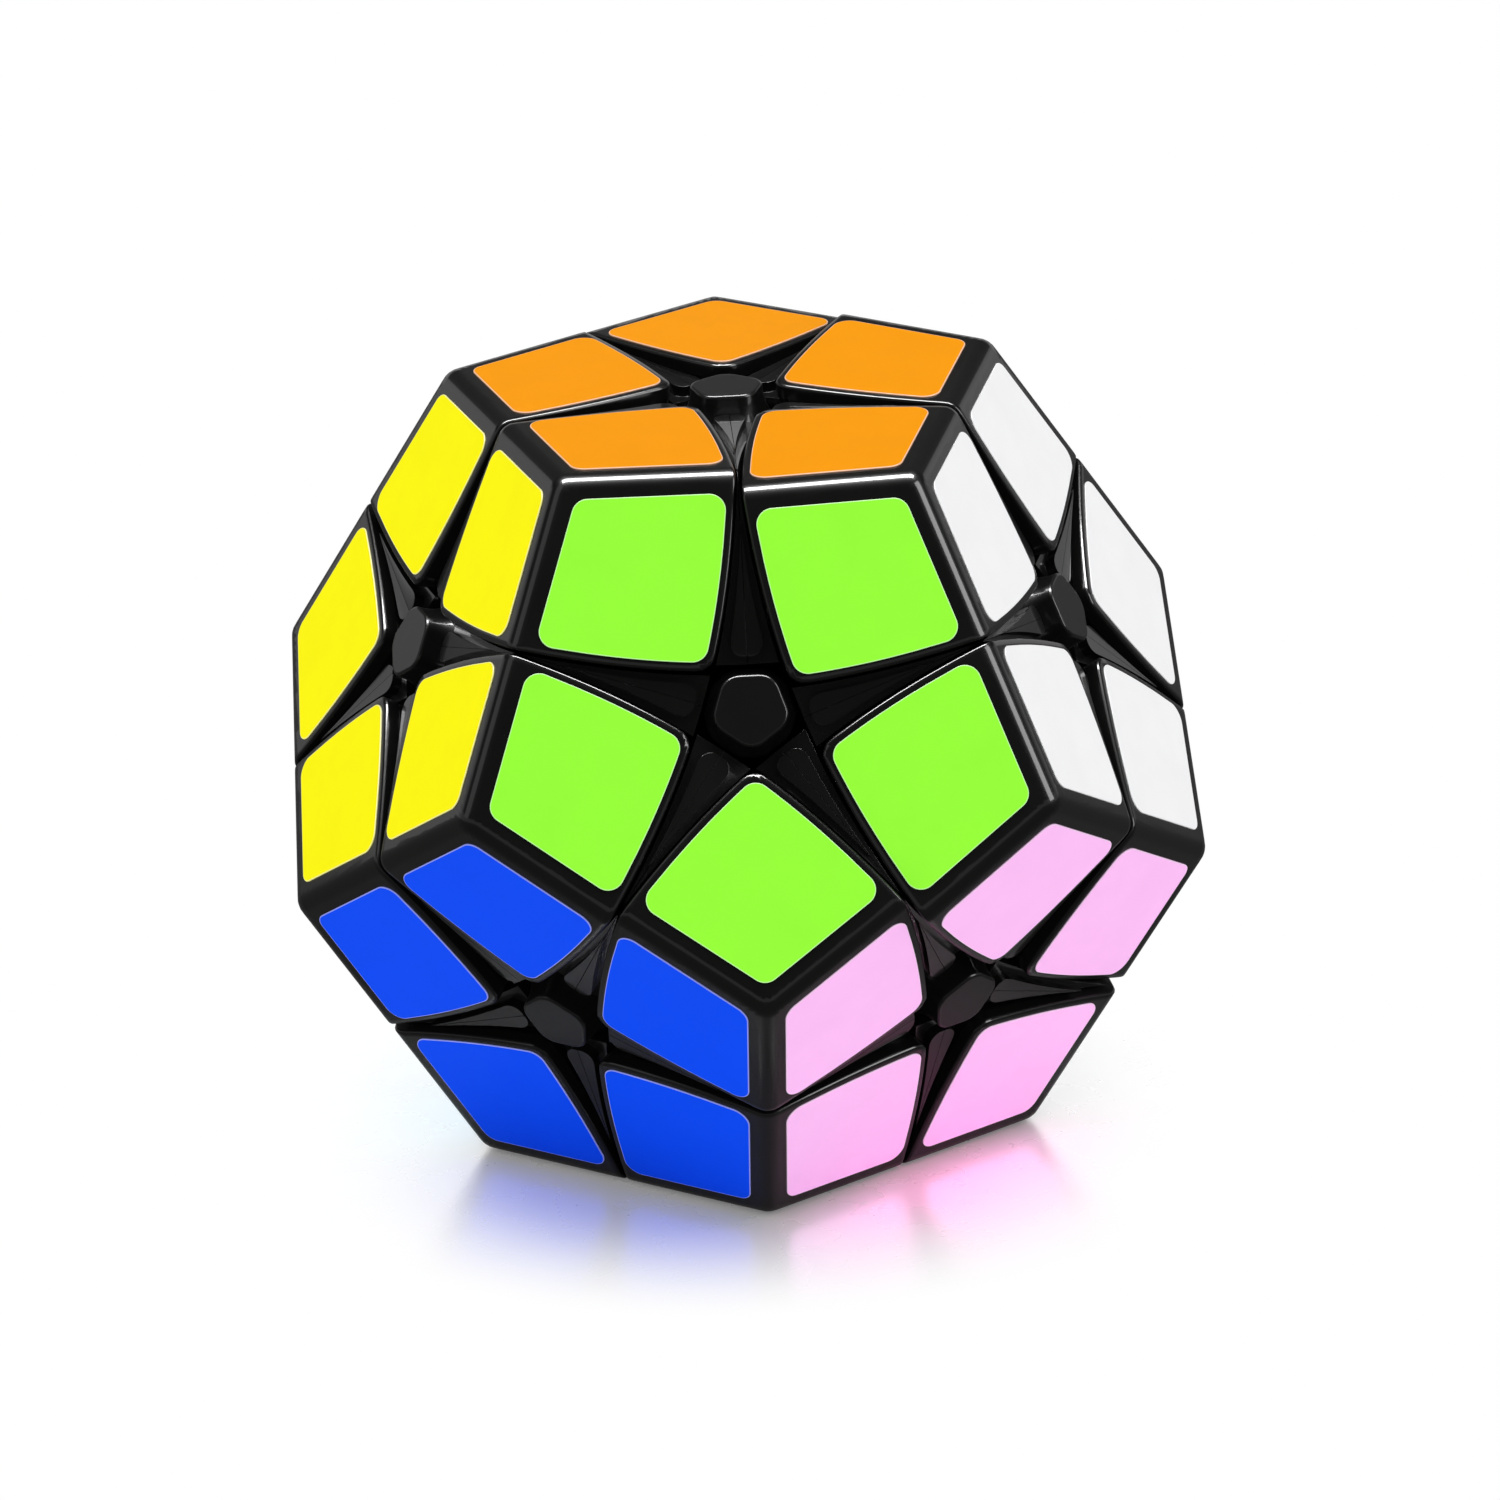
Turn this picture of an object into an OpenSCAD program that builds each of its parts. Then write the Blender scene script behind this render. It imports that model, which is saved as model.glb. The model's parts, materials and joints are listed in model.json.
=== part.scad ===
// Twelve-sided twisty puzzle: a cross of screws on a ball core carries twelve
// spring-loaded centres, twenty corners and thirty two-part edge pieces.

/* [Size] */
// Distance between two opposite plastic faces
face_to_face = 72; // [60:1:84]
// Play between two neighbouring pieces, on each side of a seam
gap = 0.15; // [0.1:0.01:0.2]

/* [Turned layers] */
// How far the right layer stands turned about its own outward axis
right_turn = 4.5; // [-36:0.1:36]
// How far the left layer stands turned about its own outward axis
left_turn = -1.3; // [-36:0.1:36]

/* [Stickers] */
// Thickness of a sticker
sticker_t = 0.12; // [0.1:0.01:0.3]
// Black margin between a sticker and a straight edge of its tile
sticker_margin = 1.95; // [1.2:0.05:2.5]
// Black margin between a sticker and a curved edge of its tile
sticker_inner_margin = 0.9; // [0.6:0.05:1.6]
// Radius of a sticker's rounded corners
sticker_r = 1.5; // [0.5:0.1:2]

/* [Tiles] */
// Slope of the cut between layers: rise over run, measured from the layer's axis
cut_slope = 0.45; // [0.42:0.01:0.48]
// Depth of the chamfer along the straight edges
edge_chamfer = 0.35; // [0.2:0.05:0.6]
// How much is rounded off the outermost point of each corner
tip_cut = 0.7; // [0.4:0.1:1.2]

/* [Edge pieces] */
// Depth of the raised rib below the face, where its slope meets the face's axis
rib_depth = 1.5; // [0.5:0.05:1.8]
// The same for the shoulder beside the rib
shoulder_depth = 2.6; // [2:0.1:3]
// Depth of the shoulder where it meets the outer edge
shoulder_end_depth = 0.9; // [0.6:0.1:1.2]
// Distance from a face's axis to the rounded inner end of a rib
rib_start = 5.0; // [4.8:0.1:6]
// Width of a rib at its rounded inner end
rib_width = 2.9; // [2.2:0.1:3.2]
// Radius of the rounded inner end's corners
rib_r = 1.1; // [0.8:0.1:1.1]
// Slope of the cut that tapers the sides of a rib towards the outer edge
rib_slope = 0.6; // [0.55:0.01:0.65]
// Width of the seam between the two halves of an edge piece
half_seam = 0.04; // [0.02:0.01:0.1]

/* [Centre caps] */
// Depth of the cap's top below the face
cap_depth = 0; // [0:0.05:0.4]
// Height of the cap
cap_h = 2.9; // [2:0.1:3.4]
// Distance from the cap's middle to the flats of its pentagon, at the top
cap_flat = 3.2; // [2.8:0.1:3.4]
// Radius of the cap's rounded points, at the top
cap_r = 3.6; // [3.3:0.1:3.8]
// Bevel round the cap's top
cap_bevel = 0.35; // [0.2:0.05:0.6]

/* [Mechanism] */
// Radius of the core's ball
core_r = 8.5; // [7:0.5:9]
// Radius of a core post
post_r = 2.8; // [2.4:0.1:3]
// Height of a post's end above the core's middle
post_end = 12; // [11:0.1:12]
// Radius inside which only the core sits
inner_r = 12.5; // [12.5:0.1:13]
// Radius at the top of the feet
foot_r = 18.5; // [18:0.1:19]
// Radius at the top of the centre discs and edge wings
wing_r = 24; // [23.5:0.1:24.5]
// Reach of a layer below foot_r, as an angle from its axis
foot_angle = 48; // [47:0.5:49]
// Reach of a layer between foot_r and wing_r, as an angle from its axis
wing_angle = 42; // [41:0.5:43]
// Radius of the post that joins an edge piece's foot, wing and head
spine_r = 1.9; // [1.5:0.1:1.9]

/* [Hidden] */
$fn = 96;
phi = (1 + sqrt(5)) / 2;
rho = face_to_face / 2;
middle_z = rho + sticker_t;
far = 2 * face_to_face;
neck_overlap = 1;

// Angles between a face's axis and its neighbours on the solid
face_angle = atan(2);
edge_angle = atan(1 / phi);
vertex_angle = atan(3 - sqrt(5));
wide_vertex_angle = atan2(sqrt(5) - 1, sqrt(5) - 2);
wide_edge_angle = 90 - edge_angle;
vertex_to_edge = acos(cos(vertex_angle) / cos(edge_angle));
edge_mid_r = rho / cos(edge_angle);
vertex_r = rho / cos(vertex_angle);
pentagon_in_r = rho / phi;
step = 72;

// The centre and the screw stack, as heights along a face's axis
centre_foot_r = 3.0;
centre_neck_r = 4.3;
centre_neck_h = 17.8;
centre_low_r = 4.25;
centre_low_h = 26;
centre_high_r = 3.95;
centre_top_h = rho - cap_depth - cap_h;
screw_hole_r = 1.35;
spring_seat_h = 19;
spring_bore_r = 2.35;
plug_h = 2;
plug_play = 0.02;
shank_r = 1.2;
shank_end_h = 5;
post_hole_r = 1.25;
post_hole_end_h = 4.5;
spring_top_h = 24.5;
spring_r = 1.8;
spring_wire_r = 0.25;
spring_turns = 4;
spring_steps = 9;
spring_sides = 4;
washer_t = 0.3;
washer_r = 2.15;
washer_hole_r = 1.3;
head_r = 2.1;
head_h = 1.6;
head_dome = 0.5;
slot_l = 2.6;
slot_w = 0.6;
slot_depth = 0.9;

// Where each thing sits: [tilt from +Z, azimuth, spin about its own axis]
ring_a = [-54, 18, 90, 162, 234];
ring_b = [-90, -18, 54, 126, 198];
letters = ["a", "b", "c", "d", "e"];
top_face = [0, 90, 0];
bottom_face = [180, 90, 0];
function high_face(i) = [face_angle, ring_b[i], 0];
function low_face(i) = [180 - face_angle, ring_a[i], 180];
faces = concat([top_face], [for (i = [0:4]) high_face(i)],
               [for (i = [0:4]) low_face(i)], [bottom_face]);
face_names = ["top", "front", "right", "back_right", "back_left", "left",
              "low_right", "low_right_back", "low_back", "low_left_back", "low_left", "bottom"];
corners = concat([for (i = [0:4]) [vertex_angle, ring_a[i], 180]],
                 [for (i = [0:4]) [wide_vertex_angle, ring_a[i], 0]],
                 [for (i = [0:4]) [180 - wide_vertex_angle, ring_b[i], 180]],
                 [for (i = [0:4]) [180 - vertex_angle, ring_b[i], 0]]);
corner_rows = ["top", "high", "low", "bottom"];
edges = concat([for (i = [0:4]) [edge_angle, ring_b[i], 0]],
               [for (i = [0:4]) [wide_edge_angle, ring_a[i], 90]],
               [for (i = [0:4]) [90, ring_b[i] - 18, -edge_angle]],
               [for (i = [0:4]) [90, ring_b[i] + 18, edge_angle]],
               [for (i = [0:4]) [180 - wide_edge_angle, ring_b[i], 90]],
               [for (i = [0:4]) [180 - edge_angle, ring_a[i], 0]]);

// The three layers that turn whole: [face, turn at rest]
right_layer = [faces[2], right_turn];
left_layer = [faces[5], left_turn];
back_layer = [faces[8], 0];
layers = [right_layer, left_layer, back_layer];

function direction(p) = [sin(p[0]) * cos(p[1]), sin(p[0]) * sin(p[1]), cos(p[0])];
// A corner, edge or centre belongs to a layer when it lies this close to its axis
member_cos = cos((vertex_angle + wide_edge_angle) / 2);
function in_layer(p, layer) = direction(p) * direction(layer[0]) > member_cos;
function in_no_layer(p) = len([for (l = layers) if (in_layer(p, l)) l]) == 0;

module at_place(p) rotate([0, p[0], p[1]]) rotate([0, 0, p[2]]) children();
module lifted() translate([0, 0, middle_z]) children();
// Turns whatever belongs to a layer with that layer
module turned(p) {
  l = [for (l = layers) if (in_layer(p, l)) l];
  if (len(l) == 0) children();
  else rotate(a = l[0][1], v = direction(l[0][0])) children();
}
module placed(p) lifted() turned(p) at_place(p) children();

// ---- Outlines ----

function unit(v) = v / norm(v);
function heading(v) = atan2(v[1], v[0]);
// Grows a convex outline by r, with round corners drawn in steps of at most arc_step
function rounded(points, r, arc_step) = [
  for (i = [0:len(points) - 1])
    let (n = len(points),
         before = unit(points[i] - points[(i + n - 1) % n]),
         after = unit(points[(i + 1) % n] - points[i]),
         start = heading(before) - 90,
         turn = (heading(after) - heading(before) + 720) % 360,
         steps = ceil(turn / arc_step))
    for (k = [0:steps]) points[i] + r * [cos(start + turn * k / steps), sin(start + turn * k / steps)]
];

// ---- The surfaces that bound a layer ----

// Each layer is bounded by three cones about its own axis, one above the other, and
// pieces pass from one to the next through spheres about the middle. A positive c
// pulls the boundary in, for the pieces of the layer; a negative c pushes it out.
module layer_cone(angle, c) {
  translate([0, 0, c / sin(angle)]) cylinder(h = rho, r1 = 0, r2 = rho * tan(angle));
}
function cut_base(slope, c) = rho * (1 / phi - slope) + c * sqrt(1 + slope * slope);
module layer_cut(slope, c, top) {
  base = cut_base(slope, c);
  translate([0, 0, base]) cylinder(h = top - base, r1 = 0, r2 = (top - base) / slope);
}

// ---- Corners ----

module three_ways() {
  intersection() {
    rotate([0, vertex_angle, 0]) children();
    rotate([0, vertex_angle, 120]) children();
    rotate([0, vertex_angle, 240]) children();
  }
}
module corner_head() difference() {
  intersection() {
    three_ways() layer_cut(cut_slope, gap, rho);
    sphere(r = vertex_r - tip_cut);
  }
  sphere(r = wing_r + gap);
  for (i = [0:2])
    rotate([0, vertex_to_edge, 60 + 120 * i])
      translate([-rho / 2, -rho / 2, edge_mid_r - edge_chamfer]) cube(rho);
}
module corner_stem() difference() {
  intersection() {
    three_ways() layer_cone(wing_angle, gap);
    sphere(r = wing_r + neck_overlap);
  }
  sphere(r = foot_r - neck_overlap);
}
module corner_foot() difference() {
  intersection() {
    three_ways() layer_cone(foot_angle, gap);
    sphere(r = foot_r - gap);
  }
  sphere(r = inner_r + gap);
}
module corner_shape() {
  corner_head();
  corner_stem();
  corner_foot();
}
module corner(i) color("#151413") placed(corners[i]) corner_shape();

// ---- Edge pieces: two halves, parted on the plane through both face axes ----

module half_box() translate([-rho, half_seam / 2, 0]) cube([2 * rho, rho / 2, 2 * rho]);
// The half's share of what lies inside both faces' layers
module two_ways() {
  intersection() {
    half_box();
    rotate([0, edge_angle, 0]) children();
    rotate([0, edge_angle, 180]) children();
  }
}
module end_way() rotate([0, wide_edge_angle, 90]) children();
// A roof over the edge: two slopes that start end_depth below the edge line and
// stand depth below the faces beside the centres
module roof(end_depth, depth) {
  peak = edge_mid_r - end_depth / cos(edge_angle);
  drop = rho * tan(edge_angle + atan((depth - end_depth) / pentagon_in_r));
  rotate([90, 0, 0])
    linear_extrude(height = rho, center = true)
      polygon([[0, peak], [-rho, peak - drop], [rho, peak - drop]]);
}
module edge_foot() difference() {
  intersection() {
    two_ways() layer_cone(foot_angle, gap);
    sphere(r = foot_r - gap);
  }
  end_way() layer_cone(foot_angle, -gap);
  sphere(r = inner_r + gap);
}
module edge_wing() difference() {
  intersection() {
    two_ways() layer_cone(wing_angle, gap);
    sphere(r = wing_r - gap);
  }
  end_way() layer_cone(wing_angle, -gap);
  sphere(r = foot_r + gap);
}
module edge_head() difference() {
  intersection() {
    two_ways() layer_cut(cut_slope, gap, rho);
    roof(shoulder_end_depth, shoulder_depth);
  }
  end_way() layer_cut(cut_slope, -gap, 2 * rho);
  sphere(r = wing_r + gap);
}
// Outline of a rib in its face's plane, from the straight edge to beside the centre
rib_outline = rounded([[-pentagon_in_r, 0], [-rib_start - rib_r, rib_r - rib_width / 2],
                       [-rib_start - rib_r, rib_width / 2 - rib_r]], rib_r, 15);
module edge_rib() difference() {
  intersection() {
    half_box();
    roof(half_seam, rib_depth);
    for (side = [0, 180])
      rotate([0, edge_angle, side])
        translate([0, 0, rho - shoulder_depth - neck_overlap])
          linear_extrude(height = shoulder_depth + neck_overlap) polygon(rib_outline);
  }
  end_way() layer_cut(rib_slope, -gap, 2 * rho);
}
module edge_spine() intersection() {
  half_box();
  translate([0, 0, foot_r - neck_overlap]) cylinder(h = wing_r - foot_r + 2 * neck_overlap, r = spine_r);
}
module edge_half_shape() {
  edge_foot();
  edge_wing();
  edge_head();
  edge_rib();
  edge_spine();
}
module edge_half(p, side) color("#1c1b1a") placed(p) rotate([0, 0, 180 * side]) edge_half_shape();
module layer_edges(layer, side) for (p = edges) if (in_layer(p, layer)) edge_half(p, side);
module frame_edges(side) for (p = edges) if (in_no_layer(p)) edge_half(p, side);

// ---- Centres, caps and the screws that hold them ----

module centre_shape() difference() {
  union() {
    rotate_extrude() polygon([
      [0, post_end + gap], [centre_foot_r, post_end + gap], [centre_neck_r, centre_neck_h],
      [centre_neck_r, wing_r - 1], [centre_low_r, centre_low_h], [centre_high_r, centre_top_h],
      [0, centre_top_h]
    ]);
    intersection() {
      disc_angle = face_angle - wing_angle;
      cylinder(h = far, r1 = 0, r2 = far * tan(disc_angle - 2 * asin(gap / foot_r)));
      difference() {
        sphere(r = wing_r - gap);
        sphere(r = foot_r + gap);
      }
    }
  }
  cylinder(h = far, r = screw_hole_r);
  translate([0, 0, spring_seat_h]) cylinder(h = far, r = spring_bore_r);
}
module centre(i) color("#151413") placed(faces[i]) centre_shape();

module cap_shape() {
  flare = (centre_high_r - cap_r) / cap_h;
  intersection() {
    translate([0, 0, centre_top_h]) cylinder(h = cap_h, r = cap_flat / cos(36), $fn = 5);
    rotate_extrude() polygon([
      [0, centre_top_h], [centre_high_r, centre_top_h],
      [cap_r + flare * cap_bevel, centre_top_h + cap_h - cap_bevel],
      [cap_r - cap_bevel, centre_top_h + cap_h], [0, centre_top_h + cap_h]
    ]);
  }
  translate([0, 0, centre_top_h - plug_h]) cylinder(h = plug_h + cap_h / 2, r = spring_bore_r - plug_play);
}
module cap(i) color("#1a1918") placed(faces[i]) cap_shape();

module screw_shape() difference() {
  union() {
    translate([0, 0, shank_end_h]) cylinder(h = spring_top_h + washer_t - shank_end_h + 0.1, r = shank_r);
    translate([0, 0, spring_top_h + washer_t]) rotate_extrude() polygon([
      [0, 0], [head_r, 0], [head_r, head_h - head_dome], [head_r - head_dome, head_h], [0, head_h]
    ]);
  }
  for (a = [0, 90])
    rotate([0, 0, a])
      translate([-slot_l / 2, -slot_w / 2, spring_top_h + washer_t + head_h - slot_depth])
        cube([slot_l, slot_w, head_h]);
}
module screws() color("#b8bcc0") for (p = faces) placed(p) screw_shape();

module washer_shape() translate([0, 0, spring_top_h]) difference() {
  cylinder(h = washer_t, r = washer_r);
  translate([0, 0, -washer_t]) cylinder(h = 3 * washer_t, r = washer_hole_r);
}
module washers() color("#c9ccd0") for (p = faces) placed(p) washer_shape();

// One coil spring: rings of points swept along a helix
module spring_shape() {
  low = spring_seat_h + spring_wire_r;
  rise = spring_top_h - spring_seat_h - 2 * spring_wire_r;
  rings = spring_turns * spring_steps;
  function ring_point(i, j) =
    let (turn = 360 * i / spring_steps, side = 360 * j / spring_sides,
         r = spring_r + spring_wire_r * cos(side))
    [r * cos(turn), r * sin(turn), low + rise * i / rings + spring_wire_r * sin(side)];
  points = [for (i = [0:rings]) for (j = [0:spring_sides - 1]) ring_point(i, j)];
  walls = [for (i = [0:rings - 1]) for (j = [0:spring_sides - 1])
    let (k = (j + 1) % spring_sides, a = i * spring_sides, b = a + spring_sides)
    each [[a + j, b + k, a + k], [a + j, b + j, b + k]]];
  first = [for (j = [0:spring_sides - 1]) j];
  last = [for (j = [spring_sides - 1:-1:0]) rings * spring_sides + j];
  polyhedron(points, concat([first], walls, [last]));
}
module springs() color("#9aa0a6") for (p = faces) placed(p) spring_shape();

module core() color("#d9d9d4") lifted() difference() {
  union() {
    sphere(r = core_r);
    for (p = faces)
      at_place(p) translate([0, 0, core_r / 2]) cylinder(h = post_end - core_r / 2, r = post_r);
  }
  for (p = faces)
    at_place(p) translate([0, 0, post_hole_end_h]) cylinder(h = post_end, r = post_hole_r);
}

// ---- Stickers ----

sin_f = sin(face_angle);
cos_f = cos(face_angle);
// Distance from the face's axis, at azimuth w, to the cut round the neighbour at
// azimuth 36, moved m into the tile
function cut_reach(w, m) =
  let (s = cut_slope,
       a = cos(36 - w) * sin_f,
       b = cos_f * rho - cut_base(s, 0) - m * sqrt(1 + s * s),
       qa = a * a * (1 + s * s) - s * s,
       qb = 2 * a * (b + s * s * cos_f * rho),
       qc = b * b + s * s * rho * rho * (cos_f * cos_f - 1))
  2 * qc / (-qb - sqrt(qb * qb - 4 * qa * qc));
// The same to the straight edge at azimuth -36, moved m into the tile
function edge_reach(w, m) = (pentagon_in_r - m) / cos(w + 36);
// Azimuth at which the two meet
function meet(mc, me, lo = -36, hi = 0, n = 24) =
  n == 0 ? lo :
  let (w = (lo + hi) / 2)
  cut_reach(w, mc) > edge_reach(w, me) ? meet(mc, me, w, hi, n - 1) : meet(mc, me, lo, w, n - 1);
curve_steps = 4;
// Half of the outline before rounding, from the inner point to the outer one
function half_outline(mc, me) =
  let (w_end = meet(mc, me))
  concat([for (i = [0:curve_steps])
            let (w = w_end * i / curve_steps) cut_reach(w, mc) * [cos(w), sin(w)]],
         [[(pentagon_in_r - me) / cos(36), 0]]);
function mirrored(points) = [for (i = [len(points) - 2:-1:1]) [points[i][0], -points[i][1]]];
sticker_arc_step = 24;
half_tile = half_outline(sticker_inner_margin + sticker_r, sticker_margin + sticker_r);
sticker_outline = rounded(concat(half_tile, mirrored(half_tile)), sticker_r, sticker_arc_step);

module sticker(side)
  rotate([0, vertex_angle, 120 * side]) rotate([0, 0, 180])
    translate([0, 0, rho]) linear_extrude(height = sticker_t) polygon(sticker_outline);
face_colours = ["#ff9b0a", "#99ff40", "#ebebeb", "#c81e1e", "#7a2fa0", "#fff70a",
                "#ffc0f8", "#9a9da0", "#12803a", "#7fd4f5", "#1446f0", "#f3e3b8"];
// The face that a corner shows on one of its three sides
function side_axis(p, side) =
  let (x = [cos(p[0]) * cos(p[1]), cos(p[0]) * sin(p[1]), -sin(p[0])],
       y = [-sin(p[1]), cos(p[1]), 0], a = p[2] + 120 * side)
  cos(vertex_angle) * direction(p) + sin(vertex_angle) * (cos(a) * x + sin(a) * y);
function face_of(p, side) =
  [for (f = [0:len(faces) - 1]) if (side_axis(p, side) * direction(faces[f]) > 0.99) f][0];
module corner_stickers(p)
  for (side = [0:2]) color(face_colours[face_of(p, side)]) placed(p) sticker(side);
module layer_stickers(layer) for (p = corners) if (in_layer(p, layer)) corner_stickers(p);
module frame_stickers() for (p = corners) if (in_no_layer(p)) corner_stickers(p);

core();
screws();
washers();
springs();
for (i = [0:11]) centre(i);
for (i = [0:11]) cap(i);
for (i = [0:19])
  corner(i);
layer_edges(right_layer, 0);  // right_edges_a
layer_edges(right_layer, 1);  // right_edges_b
layer_edges(left_layer, 0);  // left_edges_a
layer_edges(left_layer, 1);  // left_edges_b
layer_edges(back_layer, 0);  // back_edges_a
layer_edges(back_layer, 1);  // back_edges_b
frame_edges(0);  // frame_edges_a
frame_edges(1);  // frame_edges_b
layer_stickers(right_layer);  // right_stickers
layer_stickers(left_layer);  // left_stickers
layer_stickers(back_layer);  // back_stickers
frame_stickers();
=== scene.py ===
"""Twelve-sided twisty puzzle: rounded tiles, stickers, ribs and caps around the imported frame."""

import json
import math

import bmesh
import bpy
import numpy as np
from mathutils import Matrix, Vector

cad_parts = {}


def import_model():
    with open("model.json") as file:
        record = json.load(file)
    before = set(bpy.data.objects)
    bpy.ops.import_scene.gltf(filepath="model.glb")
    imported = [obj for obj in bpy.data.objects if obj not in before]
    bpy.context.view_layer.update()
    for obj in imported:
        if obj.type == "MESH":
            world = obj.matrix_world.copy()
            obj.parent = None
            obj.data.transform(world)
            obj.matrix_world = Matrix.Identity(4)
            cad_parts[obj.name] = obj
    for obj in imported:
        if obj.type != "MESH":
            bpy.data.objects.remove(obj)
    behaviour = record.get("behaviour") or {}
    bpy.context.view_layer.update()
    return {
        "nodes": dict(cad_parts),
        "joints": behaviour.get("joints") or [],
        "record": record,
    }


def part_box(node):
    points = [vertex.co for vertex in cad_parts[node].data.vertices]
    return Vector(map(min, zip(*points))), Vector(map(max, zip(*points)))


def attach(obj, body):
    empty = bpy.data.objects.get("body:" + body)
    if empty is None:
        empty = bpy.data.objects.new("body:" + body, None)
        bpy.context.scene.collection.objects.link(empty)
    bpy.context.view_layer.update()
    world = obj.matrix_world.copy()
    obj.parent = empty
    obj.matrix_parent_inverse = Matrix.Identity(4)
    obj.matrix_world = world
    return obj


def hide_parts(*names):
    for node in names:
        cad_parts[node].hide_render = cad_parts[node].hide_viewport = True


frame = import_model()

# ---------------------------------------------------------------------------
# Driving values, in millimetres and degrees
# ---------------------------------------------------------------------------

MM = 0.001
# Play on each side of a seam, and the rise of a layer's outer cut over its run
GAP = 0.15
CUT_SLOPE = 0.45
# A corner inside the puzzle: its foot from the inner to the foot radius, then its stem up to the wings,
# each inside cones of these half angles about its three faces' axes
INNER_R = 12.5
FOOT_R = 18.5
WING_R = 24.0
FOOT_ANGLE = 48.0
WING_ANGLE = 42.0

# Rounding: between tile faces, between cut walls, and between a face and a wall
FACE_ROUND = 0.95
WALL_ROUND = 1.3
RIM_ROUND = 0.32
# A small step in the tiles' walls, where two mould halves met
PARTING_DEPTH = 1.45
PARTING_STEP = 0.13
PARTING_LENGTH = 0.16
# Depths at which a tile's wall has rings: round the rim, about the step in its lengths, and further down
RIM_DEPTHS = (0.05, 0.12, 0.2, 0.32, 0.5, 0.8, 1.1)
STEP_SPREAD = (-1.2, -0.7, -0.4, -0.2, 0, 0.2, 0.4, 0.7, 1.2)
WALL_DEPTHS = (2.0, 2.6, 3.4)

# Stickers: distance from the face's straight edges and from the star, corner radius, bevel and pale rim
STICKER_MARGIN = 1.95
STICKER_INNER_MARGIN = 0.9
STICKER_CORNER_R = 1.5
STICKER_BEVEL = 0.05
STICKER_RIM = 0.09

# Centre caps: middle to flat, radius of the corners and of the top's rim, and radius at the foot
CAP_FLAT = 3.15
CAP_CORNER_R = 1.9
CAP_RIM_R = 0.3
CAP_FOOT_R = 4.15

RIB_BEVEL = 0.2
RIB_BEVEL_ANGLE = 28

# Camera, about the puzzle's middle (distances and lens in mm)
CAMERA_AZIMUTH = -1.84
CAMERA_ELEVATION = 21.15
CAMERA_ROLL = -2.33
CAMERA_DISTANCE = 827
CAMERA_RIGHT = 0.83
CAMERA_UP = -0.24
CAMERA_LENS = 211

# Floor: half width and drop (m), whiteness, share of mirror and its roughness, a little light of its own,
# and the ring over which it fades to white (mm)
FLOOR_HALF = 6.0
FLOOR_DROP = 0.00005
FLOOR_WHITE = 0.9
FLOOR_MIRROR = 0.5
FLOOR_ROUGHNESS = (0.2, 0.36)
FLOOR_LIFT = 0.13
FLOOR_FADE = (27, 50)
WORLD_WHITE = 1.03

# What the black plastic mirrors: the floor nearby (whiteness and share of mirror) and further out,
# a pale band up to an elevation just above the horizon, and the dark above it
MIRRORED_WHITE = 0.35
MIRRORED_MIRROR = 0.1
MIRRORED_GLOW = 0.12
HORIZON = (15.0, 18.0)
HORIZON_GLOW = 0.65
DARK_GLOW = 0.02

# Lights seen in reflections: azimuth, elevation, distance (m), size (m) and radiance
SOFT_BOXES = {
    "overhead": (0, 95, 0.6, (0.6, 0.2), 70),
    "right_box": (64, 28, 0.7, (0.3, 0.5), 12),
    "left_box": (-70, 35, 0.7, (0.3, 0.5), 1.2),
    "floor_card": (180, 24, 1.6, (3.5, 1.4), 1.0),
}
# The glow that the lower right face throws on the floor: its middle (mm), size (m), strength and colour
PINK_PLACE = (17, -21, 8)
PINK_SIZE = (0.02, 0.012)
PINK_RADIANCE = 3.2
PINK_TINT = (1, 0.06, 0.42)

# ---------------------------------------------------------------------------
# The solid: faces, corners and edges, worked out from the frame
# ---------------------------------------------------------------------------

PHI = (1 + math.sqrt(5)) / 2
FACE_TILT = math.degrees(math.atan(2))
VERTEX_TILT = math.degrees(math.atan(3 - math.sqrt(5)))
WIDE_VERTEX_TILT = math.degrees(math.atan2(math.sqrt(5) - 1, math.sqrt(5) - 2))
RING_A = (-54, 18, 90, 162, 234)
RING_B = (-90, -18, 54, 126, 198)

joints = {j["name"]: j for j in frame["joints"]}
bodies = frame["record"]["behaviour"]["bodies"]
body_of_node = {node: body for body, nodes in bodies.items() for node in nodes}
middle = np.array(joints["right_layer_turn"]["pos_m"])
rho = (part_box("corner_top_c")[1].z - middle[2]) / MM
sticker_t = (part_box("frame_stickers")[1].z - middle[2]) / MM - rho
cap_top = (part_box("cap_top")[1].z - middle[2]) / MM
cap_foot = (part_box("centre_top")[1].z - middle[2]) / MM


def turn_z(angle):
    """Rotation matrix about Z."""
    c, s = math.cos(math.radians(angle)), math.sin(math.radians(angle))
    return np.array([[c, -s, 0], [s, c, 0], [0, 0, 1]])


def turn_y(angle):
    """Rotation matrix about Y."""
    c, s = math.cos(math.radians(angle)), math.sin(math.radians(angle))
    return np.array([[c, 0, s], [0, 1, 0], [-s, 0, c]])


def place(tilt, azimuth, spin):
    """Rotation that takes +Z to a direction, after a spin about +Z."""
    return turn_z(azimuth) @ turn_y(tilt) @ turn_z(spin)


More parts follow.
